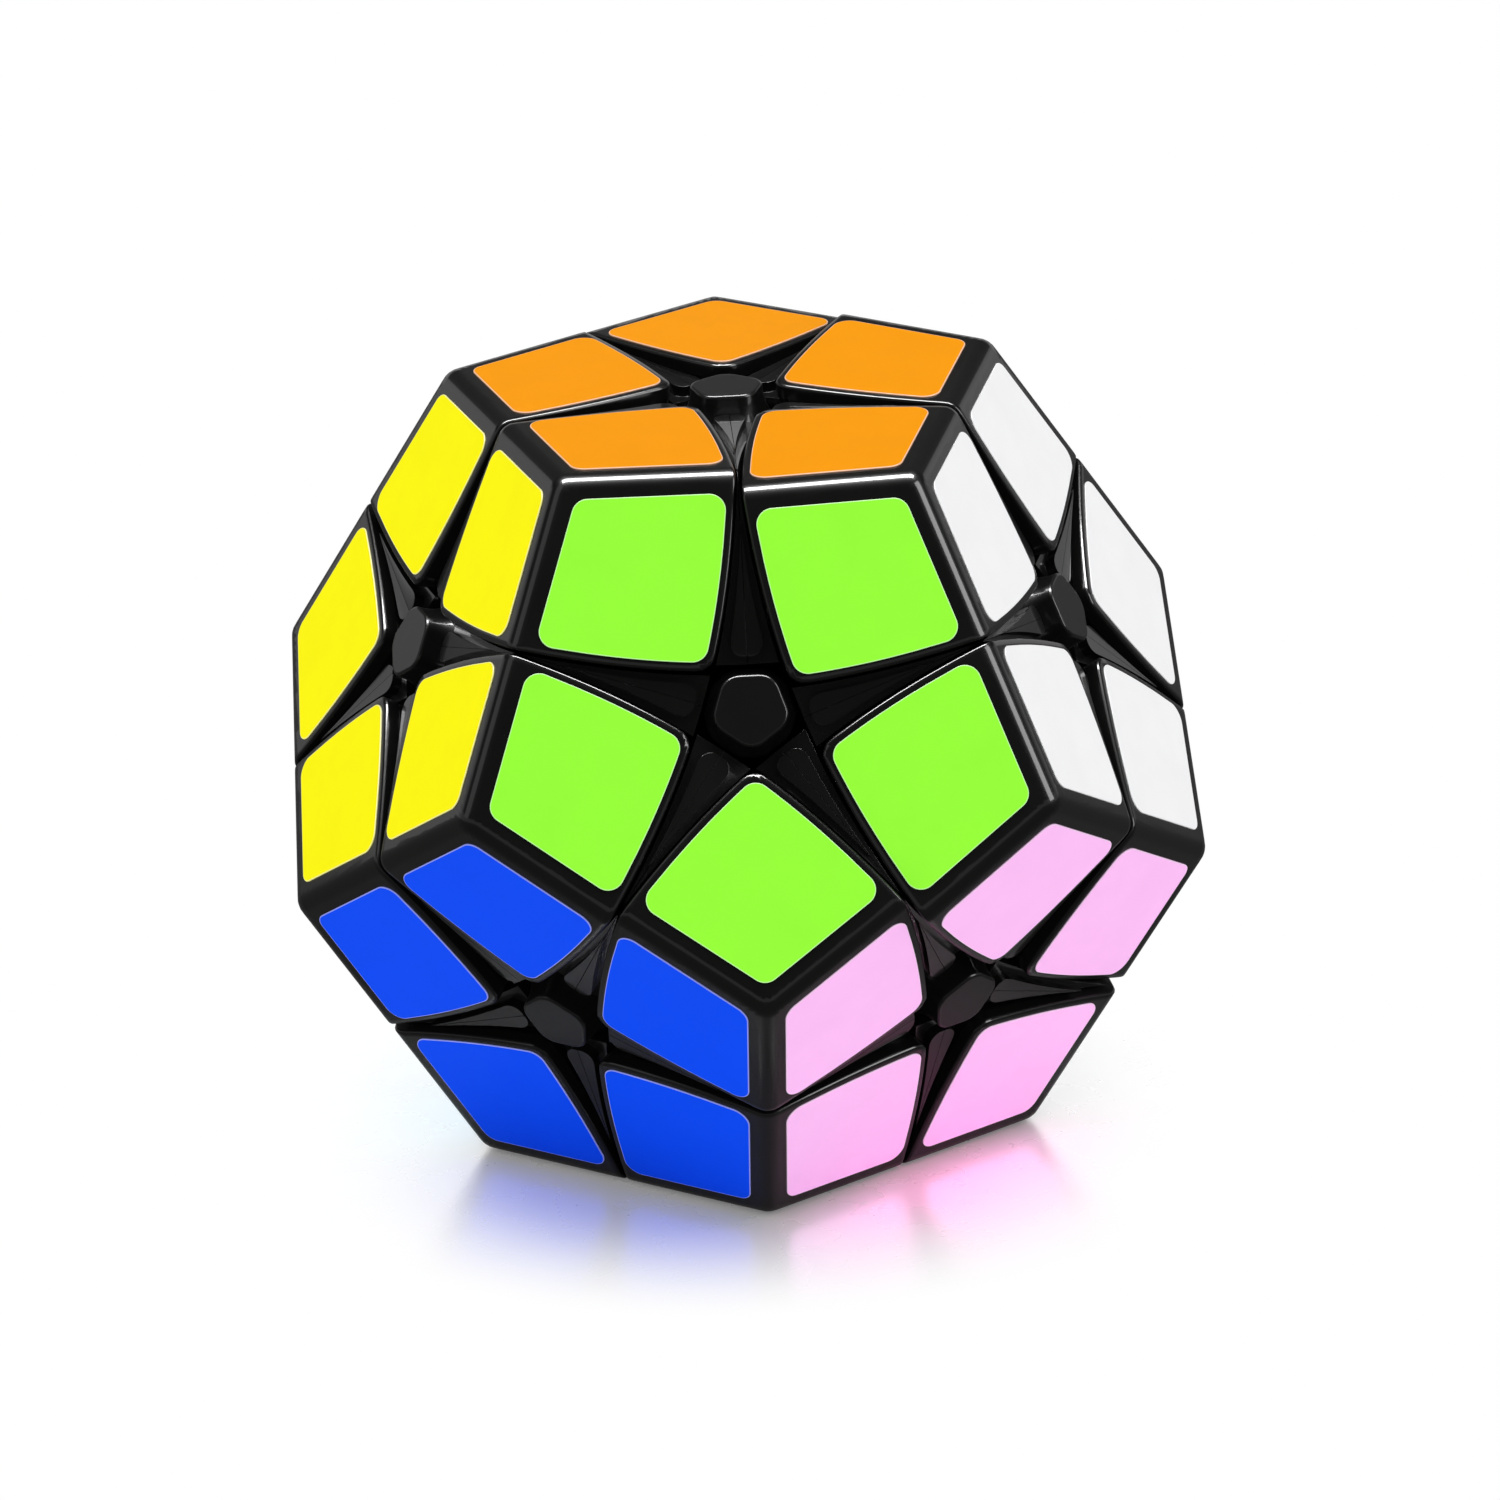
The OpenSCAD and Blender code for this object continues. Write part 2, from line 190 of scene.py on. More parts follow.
FACE_NAMES = ("top", "front", "right", "back_right", "back_left", "left",
              "low_right", "low_right_back", "low_back", "low_left_back", "low_left", "bottom")
face_places = (
    [place(0, 90, 0)]
    + [place(FACE_TILT, a, 0) for a in RING_B]
    + [place(180 - FACE_TILT, a, 180) for a in RING_A]
    + [place(180, 90, 0)]
)
corner_places = (
    [place(VERTEX_TILT, a, 180) for a in RING_A]
    + [place(WIDE_VERTEX_TILT, a, 0) for a in RING_A]
    + [place(180 - WIDE_VERTEX_TILT, a, 180) for a in RING_B]
    + [place(180 - VERTEX_TILT, a, 0) for a in RING_B]
)
corner_names = [f"corner_{row}_{letter}" for row in ("top", "high", "low", "bottom") for letter in "abcde"]
face_axes = np.array([p[:, 2] for p in face_places])


def view_axes(azimuth, elevation):
    """Right, up and backward axes of a view of the middle. Azimuth 0 is the front, positive to the right."""
    a, e = math.radians(azimuth), math.radians(elevation)
    right = Vector((math.cos(a), math.sin(a), 0))
    back = Vector((math.sin(a) * math.cos(e), -math.cos(a) * math.cos(e), math.sin(e)))
    return right, back.cross(right), back


def turn_about(axis, angle):
    """Rotation matrix about any unit axis."""
    return np.array(Matrix.Rotation(angle, 3, Vector(axis)))


def surface_middle(obj):
    """Area-weighted middle of a mesh."""
    areas = np.array([p.area for p in obj.data.polygons])
    centres = np.array([p.center for p in obj.data.polygons])
    return (areas[:, None] * centres).sum(0) / areas.sum()


def rest_turn(body, axis):
    """How far a layer stands turned at rest, from where its corners are."""
    angles = []
    for name, p in zip(corner_names, corner_places):
        if body_of_node[name] != body:
            continue
        there = surface_middle(frame["nodes"][name]) - middle
        a = p[:, 2] - axis * (p[:, 2] @ axis)
        b = there - axis * (there @ axis)
        angles.append(math.atan2(np.cross(a, b) @ axis, a @ b))
    return sum(angles) / len(angles)


layer_turns = {}
for layer in ("right", "left", "back"):
    layer_axis = np.array(joints[f"{layer}_layer_turn"]["axis"])
    layer_turns[f"{layer}_layer"] = turn_about(layer_axis, rest_turn(f"{layer}_layer", layer_axis))


def put(obj, body, rotation):
    """Moves a piece made about the puzzle's middle to its place and joins it to its body."""
    m = Matrix((layer_turns.get(body, np.eye(3)) @ rotation).tolist()).to_4x4()
    obj.matrix_world = Matrix.Translation(Vector(middle)) @ m
    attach(obj, body)


# ---------------------------------------------------------------------------
# Mesh helpers
# ---------------------------------------------------------------------------


def make_mesh(name, verts_mm, polygons):
    """A smooth-shaded mesh from millimetre points."""
    mesh = bpy.data.meshes.new(name)
    mesh.from_pydata((np.asarray(verts_mm) * MM).tolist(), [], polygons)
    mesh.validate()
    mesh.shade_smooth()
    return mesh


def add_object(name, mesh):
    """A new object in the scene."""
    obj = bpy.data.objects.new(name, mesh)
    bpy.context.scene.collection.objects.link(obj)
    return obj


def ring_polygons(rings, around, start_pole=False, end_pole=False):
    """Quads between closed rings of points, with triangles to a pole at either end.
    The points are [start pole], ring 0, ring 1, ..., [end pole]."""
    first = 1 if start_pole else 0
    polygons = []
    for r in range(rings - 1):
        a, b = first + r * around, first + (r + 1) * around
        for i in range(around):
            j = (i + 1) % around
            polygons.append((a + i, b + i, b + j, a + j))
    if start_pole:
        for i in range(around):
            polygons.append((0, first + i, first + (i + 1) % around))
    if end_pole:
        last = first + (rings - 1) * around
        for i in range(around):
            polygons.append((last + i, last + around, last + (i + 1) % around))
    return polygons


def clustered(count, strength):
    """Parameters from 0 to 1, closer together at both ends."""
    t = np.linspace(0, 1, count)
    return t + (t * t * (3 - 2 * t) - t) * strength


def blend_max(values, r):
    """Largest of several distances, with the edge between them rounded."""
    v = np.stack(values)
    return np.minimum(v.max(0), -r) + np.sqrt((np.maximum(v + r, 0) ** 2).sum(0))


# ---------------------------------------------------------------------------
# Corner pieces
# ---------------------------------------------------------------------------

corner_faces = np.array([(turn_z(120 * i) @ turn_y(VERTEX_TILT))[:, 2] for i in range(3)])
vertex_r = rho / math.cos(math.radians(VERTEX_TILT))


def along_and_off(p, axis):
    """Points' heights along an axis and distances from it."""
    h = p @ axis
    return h, np.sqrt(np.maximum((p * p).sum(1) - h * h, 0))


def cut_distance(p, axis):
    """Distance outside a layer's outer cut, with the play."""
    h, r = along_and_off(p, axis)
    base = rho * (1 / PHI - CUT_SLOPE)
    return GAP - (h - base - CUT_SLOPE * r) / math.sqrt(1 + CUT_SLOPE * CUT_SLOPE)


def cone_distance(p, axis, angle):
    """Distance outside a layer's inner cone, with the play."""
    h, r = along_and_off(p, axis)
    a = math.radians(angle)
    return GAP - (h * math.sin(a) - r * math.cos(a))


def corner_head_distance(p):
    """Signed distance of a corner's rounded head, with the parting step in its walls."""
    tops = blend_max([p @ n - rho for n in corner_faces], FACE_ROUND)
    below = np.clip((-tops - PARTING_DEPTH) / PARTING_LENGTH, 0, 1)
    step = PARTING_STEP * below * below * (3 - 2 * below)
    walls = blend_max([cut_distance(p, n) for n in corner_faces], WALL_ROUND) + step
    return blend_max([tops, walls], RIM_ROUND)


def gradient(f, p, e=1e-4):
    """Gradient of a distance by central differences."""
    g = np.empty_like(p)
    for i in range(3):
        d = np.zeros(3)
        d[i] = e
        g[:, i] = (f(p + d) - f(p - d)) / (2 * e)
    return g


def project(f, p, rounds=6):
    """Moves points onto the surface where f is zero."""
    for _ in range(rounds):
        g = gradient(f, p)
        p = p - (f(p) / np.maximum((g * g).sum(1), 1e-9))[:, None] * g
    return p


def bisect(inside, low, high, rounds=40):
    """Largest parameter that is still inside, one for each entry."""
    low, high = low.copy(), high.copy()
    for _ in range(rounds):
        mid = (low + high) / 2
        keep = inside(mid)
        low = np.where(keep, mid, low)
        high = np.where(keep, high, mid)
    return (low + high) / 2


def corner_piece():
    """Mesh of one corner about the puzzle's middle, its outer point along +Z."""
    per_side = clustered(21, 0.86)[:-1] * 60
    azimuths = np.concatenate([60 * k + per_side for k in range(6)])
    a = np.radians(azimuths)
    around = len(a)
    face_azimuth = np.radians(120) * np.round(a / np.radians(120))
    slope = math.tan(math.radians(VERTEX_TILT)) * np.cos(a - face_azimuth)

    def on_face(reach, depth=0.0):
        top = vertex_r - depth / math.cos(math.radians(VERTEX_TILT))
        return np.stack([reach * np.cos(a), reach * np.sin(a), top - reach * slope], 1)

    def on_sphere(polar, r):
        return np.stack([r * np.sin(polar) * np.cos(a), r * np.sin(polar) * np.sin(a), r * np.cos(polar)], 1)

    def in_cuts(p):
        return np.max([cut_distance(p, n) for n in corner_faces], axis=0) < 0

    def in_cones(p, angle):
        return np.max([cone_distance(p, n, angle) for n in corner_faces], axis=0) < 0

    near, far = np.full(around, 4.0), np.full(around, 30.0)
    axial, wide = np.zeros(around), np.full(around, math.radians(60))
    reach = bisect(lambda x: in_cuts(on_face(x)), near, far)
    rings = [on_face(reach * t) for t in clustered(20, 0.86)[1:]]
    step_depths = [PARTING_DEPTH + PARTING_LENGTH * (0.5 + t) for t in STEP_SPREAD]
    for depth in (*RIM_DEPTHS, *step_depths, *WALL_DEPTHS):
        wall_reach = bisect(lambda x: in_cuts(on_face(x, depth)), near, far)
        rings.append(on_face(wall_reach, depth))
    last_r = np.linalg.norm(rings[-1], axis=1)
    bottom_r = WING_R + GAP
    for t in np.linspace(0, 1, 7)[1:]:
        r = last_r + (bottom_r - last_r) * t
        polar = bisect(lambda x: in_cuts(on_sphere(x, r)), axial, wide)
        rings.append(on_sphere(polar, r))
    head_rings = len(rings)

    def ring_in(angle, r):
        polar = bisect(lambda x: in_cones(on_sphere(x, r), angle), axial, wide)
        return on_sphere(polar, r)

    stem_top = ring_in(WING_ANGLE, bottom_r)
    foot_top_r = FOOT_R - GAP
    rings += [(rings[-1] + stem_top) / 2, stem_top]
    rings += [ring_in(WING_ANGLE, r) for r in np.linspace(bottom_r, foot_top_r, 5)[1:]]
    rings += [ring_in(FOOT_ANGLE, r) for r in np.linspace(foot_top_r, INNER_R + GAP, 5)]
    pole = np.array([[0, 0, vertex_r]])
    end = np.array([[0, 0, INNER_R + GAP]])
    points = np.concatenate([pole] + rings + [end])
    head = 1 + (head_rings - 1) * around
    points[:head] = project(corner_head_distance, points[:head])
    polygons = ring_polygons(len(rings), around, True, True)
    mesh = make_mesh("corner_shape", points, polygons)
    normals = np.array([v.normal for v in mesh.vertices])
    g = gradient(corner_head_distance, points[:head])
    normals[:head] = g / np.linalg.norm(g, axis=1)[:, None]
    mesh.normals_split_custom_set_from_vertices(normals.tolist())
    return mesh


# ---------------------------------------------------------------------------
# Stickers
# ---------------------------------------------------------------------------

SIN_F, COS_F = math.sin(math.radians(FACE_TILT)), math.cos(math.radians(FACE_TILT))
pentagon_in_r = rho / PHI


def cut_reach(w, m):
    """Distance in a face from its axis, at azimuth w, to the neighbour's cut moved m inwards."""
    s = CUT_SLOPE
    a = math.cos(math.radians(36 - w)) * SIN_F
    b = COS_F * rho - rho * (1 / PHI - s) - m * math.sqrt(1 + s * s)
    qa = a * a * (1 + s * s) - s * s
    qb = 2 * a * (b + s * s * COS_F * rho)
    qc = b * b + s * s * rho * rho * (COS_F * COS_F - 1)
    return 2 * qc / (-qb - math.sqrt(qb * qb - 4 * qa * qc))


def edge_reach(w, m):
    """The same to the straight edge at azimuth -36."""
    return (pentagon_in_r - m) / math.cos(math.radians(w + 36))


def tile_outline(margin, inner_margin, steps=10):
    """Kite with curved inner sides, before its corners are rounded."""
    low, high = -36.0, 0.0
    for _ in range(40):
        w = (low + high) / 2
        if cut_reach(w, inner_margin) > edge_reach(w, margin):
            low = w
        else:
            high = w
    half = []
    for i in range(steps + 1):
        w = low * i / steps
        r = cut_reach(w, inner_margin)
        half.append((r * math.cos(math.radians(w)), r * math.sin(math.radians(w))))
    tip = (edge_reach(0, margin), 0.0)
    return half + [tip] + [(x, -y) for x, y in reversed(half[1:])]


def grown(points, r, arc_step=7.5):
    """Convex outline moved out by r, with round corners."""
    out = []
    n = len(points)
    for i, (x, y) in enumerate(points):
        bx, by = x - points[i - 1][0], y - points[i - 1][1]
        ax, ay = points[(i + 1) % n][0] - x, points[(i + 1) % n][1] - y
        start = math.atan2(by, bx)
        turn = (math.atan2(ay, ax) - start) % (2 * math.pi)
        steps = max(1, math.ceil(math.degrees(turn) / arc_step))
        for k in range(steps + 1):
            angle = start - math.pi / 2 + turn * k / steps
            out.append((x + r * math.cos(angle), y + r * math.sin(angle)))
    return out


def sticker_piece(name):
    """One sticker, flat on its face's plane: a bevelled skin with a pale die-cut rim."""
    core = tile_outline(STICKER_MARGIN + STICKER_CORNER_R, STICKER_INNER_MARGIN + STICKER_CORNER_R)
    rows = [
        (0.0, 0.0),
        (0.0, sticker_t - STICKER_BEVEL),
        (-STICKER_BEVEL * 0.3, sticker_t - STICKER_BEVEL * 0.3),
        (-STICKER_BEVEL, sticker_t),
        (-STICKER_RIM, sticker_t),
    ]
    rings = [[(x, y, rho + z) for x, y in grown(core, STICKER_CORNER_R + inset)] for inset, z in rows]
    around = len(rings[0])
    centre = np.array(rings[-1]).mean(0)
    points = [tuple(q) for ring in rings for q in ring] + [tuple(centre)]
    polygons = [tuple(reversed(q)) for q in ring_polygons(len(rings), around)]
    top = (len(rings) - 1) * around
    polygons += [(top + i, top + (i + 1) % around, len(points) - 1) for i in range(around)]
    polygons.append(tuple(reversed(range(around))))
    mesh = make_mesh(name, points, polygons)
    mesh.polygons.foreach_set("material_index", [1 if i < top else 0 for i in range(len(polygons))])
    flat = rows.index((-STICKER_BEVEL, sticker_t)) * around
    normals = [(0, 0, 1) if v.index >= flat else tuple(v.normal) for v in mesh.vertices]
    mesh.normals_split_custom_set_from_vertices(normals)
    return mesh


# ---------------------------------------------------------------------------
# Materials
# ---------------------------------------------------------------------------


def srgb(code):
    """Linear colour from a hex code."""
    values = [int(code[i:i + 2], 16) / 255 for i in (1, 3, 5)]
    return [v / 12.92 if v <= 0.04045 else ((v + 0.055) / 1.055) ** 2.4 for v in values] + [1.0]


def new_material(name, colour, roughness):
    """A Principled material with its shader's sockets set."""
    material = bpy.data.materials.new(name)
    material.use_nodes = True
    shader = material.node_tree.nodes["Principled BSDF"]
    shader.inputs["Base Color"].default_value = colour
    shader.inputs["Roughness"].default_value = roughness
    return material, material.node_tree, shader


def noise(tree, scale, detail=3.0):
    """Noise in the object's own coordinates."""
    coords = tree.nodes.new("ShaderNodeTexCoord")
    texture = tree.nodes.new("ShaderNodeTexNoise")
    texture.inputs["Scale"].default_value = scale
    texture.inputs["Detail"].default_value = detail
    tree.links.new(coords.outputs["Object"], texture.inputs["Vector"])
    return texture.outputs["Fac"]


def ramp(tree, source, low, high, span=(0.0, 1.0), smooth=False):
    """Maps a span, 0 to 1 unless given, to low..high."""
    node = tree.nodes.new("ShaderNodeMapRange")
    node.interpolation_type = "SMOOTHSTEP" if smooth else "LINEAR"
    node.inputs["From Min"].default_value, node.inputs["From Max"].default_value = span
    node.inputs["To Min"].default_value = low
    node.inputs["To Max"].default_value = high
    tree.links.new(source, node.inputs["Value"])
    return node.outputs["Result"]


def mix_colours(tree, factor, a, b):
    """Mix of two fixed colours."""
    node = tree.nodes.new("ShaderNodeMix")
    node.data_type = "RGBA"
    node.inputs["A"].default_value = a
    node.inputs["B"].default_value = b
    tree.links.new(factor, node.inputs["Factor"])
    return node.outputs["Result"]


def mix_shaders(tree, factor, a, b):
    """Mix of two shader nodes."""
    node = tree.nodes.new("ShaderNodeMixShader")
    tree.links.new(factor, node.inputs["Fac"])
    tree.links.new(a.outputs[0], node.inputs[1])
    tree.links.new(b.outputs[0], node.inputs[2])
    return node


def white_node(tree, kind):
    """An emission or background node of pure white."""
    node = tree.nodes.new(kind)
    node.inputs["Color"].default_value = (1, 1, 1, 1)
    return node


def add_bump(tree, shader, height, distance, strength):
    """Bump from a height, its distance in metres."""
    node = tree.nodes.new("ShaderNodeBump")
    node.inputs["Distance"].default_value = distance
    node.inputs["Strength"].default_value = strength
    tree.links.new(height, node.inputs["Height"])
    tree.links.new(node.outputs["Normal"], shader.inputs["Normal"])


def black_plastic(name, shade, roughness, coat):
    """Moulded black plastic: fine texture, slightly uneven gloss, polished skin."""
    material, tree, shader = new_material(name, (shade, shade, shade, 1), roughness)
    shader.inputs["Specular IOR Level"].default_value = 0.12
    shader.inputs["Coat Weight"].default_value = coat
    shader.inputs["Coat Roughness"].default_value = 0.06
    shader.inputs["Coat IOR"].default_value = 1.35
    patches = noise(tree, 90.0, 4.0)
    tree.links.new(ramp(tree, patches, roughness - 0.05, roughness + 0.07), shader.inputs["Roughness"])
    darker = (shade * 0.8, shade * 0.78, shade * 0.75, 1)
    lighter = (shade * 1.25, shade * 1.2, shade * 1.15, 1)
    tone = mix_colours(tree, patches, darker, lighter)
    tree.links.new(tone, shader.inputs["Base Color"])
    add_bump(tree, shader, noise(tree, 2600.0, 2.0), 0.00001, 0.25)
    return material


def sticker_vinyl(name, colour):
    """Printed vinyl: even colour with a faint mottle and a fine grain."""
    material, tree, shader = new_material(name, colour, 0.4)
    shader.inputs["Specular IOR Level"].default_value = 0.01
    mottle = noise(tree, 260.0, 5.0)
    darker = [c * 0.94 for c in colour[:3]] + [1]
    tree.links.new(mix_colours(tree, mottle, darker, colour), shader.inputs["Base Color"])
    tree.links.new(ramp(tree, mottle, 0.33, 0.45), shader.inputs["Roughness"])
    add_bump(tree, shader, noise(tree, 3200.0, 3.0), 0.00001, 0.2)
    return material


def pale_rim(name, colour):
    """The cut edge of a sticker, where its white backing shows through."""
    pale = [c + (1 - c) * 0.3 for c in colour[:3]] + [1]
    material, tree, shader = new_material(name, pale, 0.5)
    tone = mix_colours(tree, noise(tree, 900.0), [c * 0.9 for c in pale[:3]] + [1], pale)
    tree.links.new(tone, shader.inputs["Base Color"])
    return material


def metal(name, colour, roughness):
    """Plated steel with turned marks."""
    material, tree, shader = new_material(name, colour, roughness)
    shader.inputs["Metallic"].default_value = 1.0
    marks = ramp(tree, noise(tree, 700.0), roughness - 0.08, roughness + 0.1)
    tree.links.new(marks, shader.inputs["Roughness"])
    add_bump(tree, shader, noise(tree, 1500.0), 0.00001, 0.2)
    return material


black = black_plastic("black_plastic", 0.003, 0.3, 0.7)
black_matt = black_plastic("black_plastic_inner", 0.0028, 0.3, 0.9)
cap_black = black_plastic("cap_plastic", 0.003, 0.32, 0.5)
core_plastic, core_tree, core_shader = new_material("core_plastic", (0.72, 0.72, 0.69, 1), 0.4)
core_tree.links.new(
    mix_colours(core_tree, noise(core_tree, 120.0), (0.66, 0.66, 0.63, 1), (0.76, 0.76, 0.73, 1)),
    core_shader.inputs["Base Color"],
)
add_bump(core_tree, core_shader, noise(core_tree, 2200.0), 0.00001, 0.2)
steel = metal("steel", (0.62, 0.63, 0.65, 1), 0.3)
spring_steel = metal("spring_steel", (0.5, 0.51, 0.53, 1), 0.25)

FACE_COLOURS = {
    "top": "#ffa002", "front": "#98ff3c", "right": "#f5f5f6", "back_right": "#c81e1e",
    "back_left": "#7a2fa0", "left": "#fff806", "low_right": "#ffc2f9", "low_right_back": "#9a9da0",
    "low_back": "#12803a", "low_left_back": "#7fd4f5", "low_left": "#0c4cf6", "bottom": "#f3e3b8",
}

# ---------------------------------------------------------------------------
# Pieces
# ---------------------------------------------------------------------------

corner_mesh = corner_piece()
corner_mesh.materials.append(black)
for name, rotation in zip(corner_names, corner_places):
    piece = add_object(f"{name}_body", corner_mesh)
    put(piece, body_of_node[name], rotation)
    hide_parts(name)

sticker_meshes = {}
for face, code in FACE_COLOURS.items():
    mesh = sticker_piece(f"sticker_{face}")
    mesh.materials.append(sticker_vinyl(f"vinyl_{face}", srgb(code)))
    mesh.materials.append(pale_rim(f"vinyl_rim_{face}", srgb(code)))
    sticker_meshes[face] = mesh
STICKER_NODES = {"frame": "frame_stickers", "right_layer": "right_stickers",
                 "left_layer": "left_stickers", "back_layer": "back_stickers"}
for name, rotation in zip(corner_names, corner_places):
    for side in range(3):
        local = rotation @ turn_z(120 * side) @ turn_y(VERTEX_TILT) @ turn_z(180)
        face = FACE_NAMES[int(np.argmax(face_axes @ local[:, 2]))]
        piece = add_object(f"sticker_{name[7:]}_{face}", sticker_meshes[face])
        body = body_of_node[name]
        put(piece, body, local)
        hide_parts(STICKER_NODES[body])


def cap_piece():
    """Rounded five-sided cap: flat top, fine rim and a flared skirt."""
    reach = (CAP_FLAT - CAP_CORNER_R) / math.cos(math.radians(36))
    turns = [math.radians(72 * i) for i in range(5)]
    pentagon = [(reach * math.cos(a), reach * math.sin(a)) for a in turns]
    top = np.array(grown(pentagon, CAP_CORNER_R, 7.2))
    heading = top / np.linalg.norm(top, axis=1)[:, None]
    skirt = heading * CAP_FOOT_R
    rings = [(top * t, cap_top) for t in (0.35, 0.7, 0.9)]
    for angle in range(0, 91, 15):
        a = math.radians(angle)
        rings.append((top - heading * CAP_RIM_R * (1 - math.sin(a)), cap_top - CAP_RIM_R * (1 - math.cos(a))))
    height = cap_top - CAP_RIM_R - cap_foot
    for t in (0.25, 0.5, 0.7, 0.85, 0.95, 1.0):
        flare = t ** 2.2
        rings.append((top * (1 - flare) + skirt * flare, cap_top - CAP_RIM_R - height * t))
    around = len(top)
    points = [(0, 0, cap_top)]
    for ring, z in rings:
        points += [(x, y, z) for x, y in ring]
    points.append((0, 0, cap_foot))
    polygons = ring_polygons(len(rings), around, True, True)
    return make_mesh("cap_shape", points, polygons)


cap_mesh = cap_piece()
cap_mesh.materials.append(cap_black)
for name, rotation in zip(FACE_NAMES, face_places):
    node = f"cap_{name}"
    piece = add_object(f"{node}_plate", cap_mesh)
    put(piece, body_of_node[node], rotation)
    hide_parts(node)


def bevelled_copy(node, material):
    """A CAD node's mesh with its flats merged and its edges rounded."""
    mesh = frame["nodes"][node].data.copy()
    mesh.materials.clear()
    mesh.materials.append(material)
    work = bmesh.new()
    work.from_mesh(mesh)
    bmesh.ops.remove_doubles(work, verts=work.verts, dist=1e-6)
    bmesh.ops.dissolve_limit(work, angle_limit=math.radians(0.6), verts=work.verts, edges=work.edges)
    work.to_mesh(mesh)
    work.free()
    piece = add_object(f"{node}_ribs", mesh)
    bevel = piece.modifiers.new("bevel", "BEVEL")
    bevel.width = RIB_BEVEL * MM
    bevel.segments = 2
    bevel.limit_method = "ANGLE"
    bevel.angle_limit = math.radians(RIB_BEVEL_ANGLE)
    bevel.harden_normals = True
    bevel.use_clamp_overlap = True
    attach(piece, body_of_node[node])
    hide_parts(node)


def repaint(node, material):
    """Gives a CAD node that stays a better material."""
    data = frame["nodes"][node].data
    data.materials.clear()
    data.materials.append(material)


for name in FACE_NAMES:
    repaint(f"centre_{name}", black_matt)
for group in ("frame", "right", "left", "back"):
    for half in "ab":
        bevelled_copy(f"{group}_edges_{half}", black_matt)
repaint("core", core_plastic)
repaint("screws", steel)
repaint("washers", steel)
repaint("springs", spring_steel)

# ---------------------------------------------------------------------------
# Stage: floor, world, lights and camera
# ---------------------------------------------------------------------------


def floor():
    """A satin white floor that mirrors the puzzle near its foot and fades to pure white around it."""
    s = FLOOR_HALF
    mesh = bpy.data.meshes.new("floor")
    mesh.from_pydata([(-s, -s, 0), (s, -s, 0), (s, s, 0), (-s, s, 0)], [], [(0, 1, 2, 3)])
    obj = bpy.data.objects.new("floor", mesh)
    bpy.context.scene.collection.objects.link(obj)
    obj.location.z = -FLOOR_DROP
    material = bpy.data.materials.new("floor_white")
    material.use_nodes = True
    tree = material.node_tree
    tree.nodes.clear()
    out = tree.nodes.new("ShaderNodeOutputMaterial")
    path = tree.nodes.new("ShaderNodeLightPath")
    mirrored = path.outputs["Is Glossy Ray"]
    diffuse = tree.nodes.new("ShaderNodeBsdfDiffuse")
    tree.links.new(ramp(tree, mirrored, FLOOR_WHITE, MIRRORED_WHITE), diffuse.inputs["Color"])
    gloss = tree.nodes.new("ShaderNodeBsdfAnisotropic")
    gloss.inputs["Color"].default_value = (0.95, 0.95, 0.95, 1)
    tree.links.new(ramp(tree, noise(tree, 160.0), *FLOOR_ROUGHNESS), gloss.inputs["Roughness"])
    surface = mix_shaders(tree, ramp(tree, mirrored, FLOOR_MIRROR, MIRRORED_MIRROR), diffuse, gloss)
    lift = white_node(tree, "ShaderNodeEmission")
    tree.links.new(ramp(tree, path.outputs["Is Camera Ray"], 0.0, FLOOR_LIFT), lift.inputs["Strength"])
    near = tree.nodes.new("ShaderNodeAddShader")
    tree.links.new(surface.outputs[0], near.inputs[0])
    tree.links.new(lift.outputs[0], near.inputs[1])
    around = white_node(tree, "ShaderNodeEmission")
    tree.links.new(ramp(tree, mirrored, 1.0, MIRRORED_GLOW), around.inputs["Strength"])
    coords = tree.nodes.new("ShaderNodeTexCoord")
    length = tree.nodes.new("ShaderNodeVectorMath")
    length.operation = "LENGTH"
    tree.links.new(coords.outputs["Object"], length.inputs[0])
    ring = (FLOOR_FADE[0] * MM, FLOOR_FADE[1] * MM)
    fade = ramp(tree, length.outputs["Value"], 0.0, 1.0, ring, smooth=True)
    tree.links.new(mix_shaders(tree, fade, near, around).outputs[0], out.inputs["Surface"])
    mesh.materials.append(material)
    return obj


def world():
    """White to the camera and to soft light; reflections see dark above a pale horizon."""
    studio = bpy.data.worlds.new("studio")
    bpy.context.scene.world = studio
    studio.use_nodes = True
    tree = studio.node_tree
    tree.nodes.clear()
    out = tree.nodes.new("ShaderNodeOutputWorld")
    path = tree.nodes.new("ShaderNodeLightPath")
    coords = tree.nodes.new("ShaderNodeTexCoord")
    split = tree.nodes.new("ShaderNodeSeparateXYZ")
    tree.links.new(coords.outputs["Generated"], split.inputs["Vector"])
    heights = [math.sin(math.radians(angle)) for angle in HORIZON]
    band = ramp(tree, split.outputs["Z"], HORIZON_GLOW, DARK_GLOW, heights, smooth=True)
    seen = white_node(tree, "ShaderNodeBackground")
    seen.inputs["Strength"].default_value = WORLD_WHITE
    mirrored = white_node(tree, "ShaderNodeBackground")
    tree.links.new(band, mirrored.inputs["Strength"])
    mix = mix_shaders(tree, path.outputs["Is Glossy Ray"], seen, mirrored)
    tree.links.new(mix.outputs[0], out.inputs["Surface"])


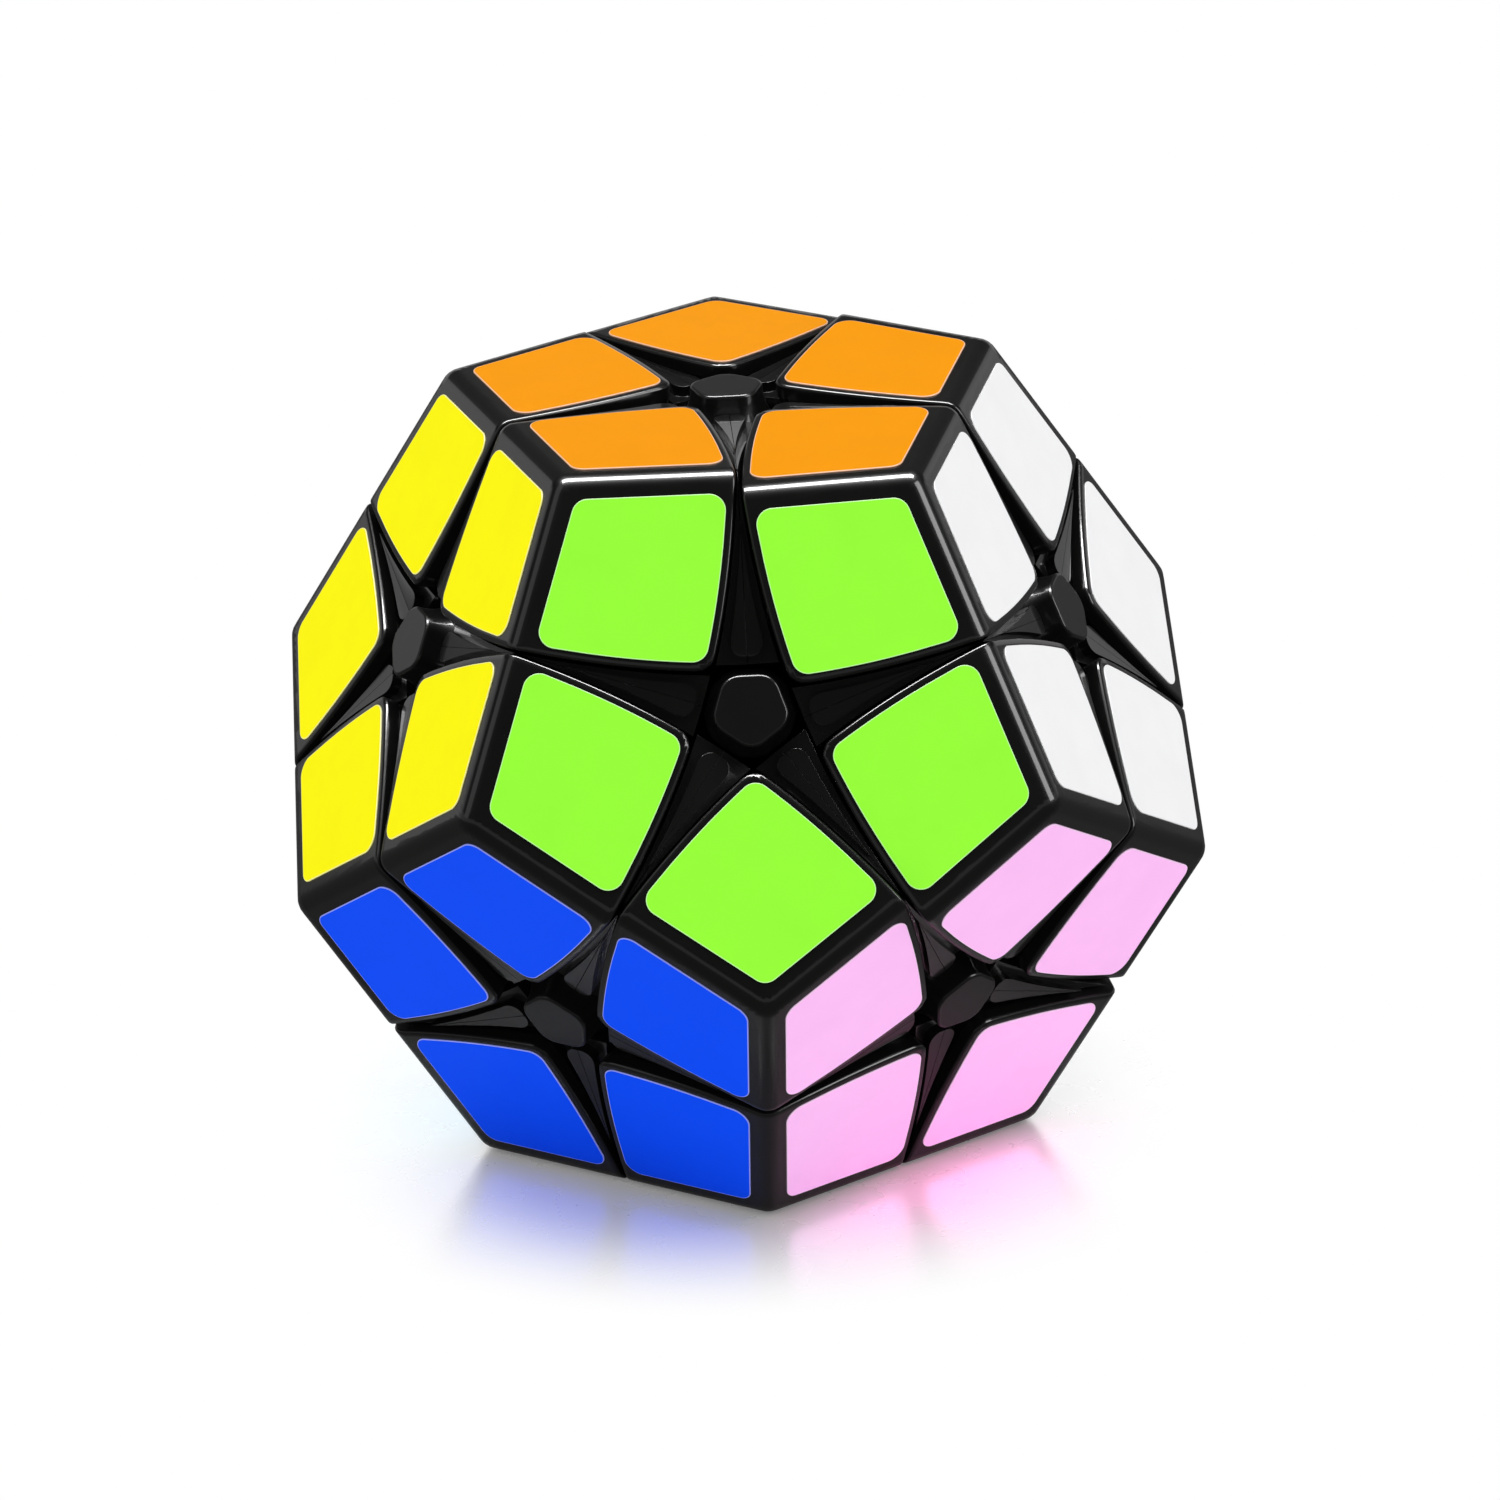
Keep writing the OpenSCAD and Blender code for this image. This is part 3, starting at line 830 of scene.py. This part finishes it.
def soft_box(name, azimuth, elevation, distance, size, radiance, tint=(1, 1, 1)):
    """A rectangular light seen only in reflections, aimed at the puzzle's middle.
    Its size is across, then along the elevation."""
    data = bpy.data.lights.new(name, "AREA")
    data.shape = "RECTANGLE"
    data.size, data.size_y = size
    data.energy = radiance * math.pi * size[0] * size[1]
    data.color = tint
    obj = bpy.data.objects.new(name, data)
    bpy.context.scene.collection.objects.link(obj)
    right, up, back = view_axes(azimuth, elevation)
    rotation = Matrix((right, up, back)).transposed().to_4x4()
    obj.matrix_world = Matrix.Translation(Vector(middle) + back * distance) @ rotation
    obj.visible_camera = False
    obj.visible_diffuse = False
    return obj


def shine_on(light, pieces):
    """Limits a light to some pieces."""
    group = bpy.data.collections.new(f"{light.name}_receivers")
    for piece in pieces:
        group.objects.link(piece)
    light.light_linking.receiver_collection = group


def camera():
    """The camera, turned and moved about the puzzle's middle."""
    level, upright, back = view_axes(CAMERA_AZIMUTH, CAMERA_ELEVATION)
    r = math.radians(CAMERA_ROLL)
    right = level * math.cos(r) + upright * math.sin(r)
    up = upright * math.cos(r) - level * math.sin(r)
    data = bpy.data.cameras.new("camera")
    data.lens = CAMERA_LENS
    data.sensor_width = 36
    data.clip_end = 50
    obj = bpy.data.objects.new("camera", data)
    bpy.context.scene.collection.objects.link(obj)
    rotation = Matrix((right, up, back)).transposed().to_4x4()
    where = Vector(middle) + (back * CAMERA_DISTANCE + right * CAMERA_RIGHT + up * CAMERA_UP) * MM
    obj.matrix_world = Matrix.Translation(where) @ rotation
    bpy.context.scene.camera = obj


ground = floor()
world()
camera()
soft_boxes = {name: soft_box(name, *values) for name, values in SOFT_BOXES.items()}
shine_on(soft_boxes["floor_card"], [ground])
bounce = soft_box("pink_bounce", 0, 90, 0, PINK_SIZE, PINK_RADIANCE, PINK_TINT)
bounce.matrix_world = Matrix.Translation([v * MM for v in PINK_PLACE])
bounce.visible_diffuse = True
bounce.visible_glossy = False
shine_on(bounce, [ground])
bpy.context.scene.view_settings.view_transform = "Standard"
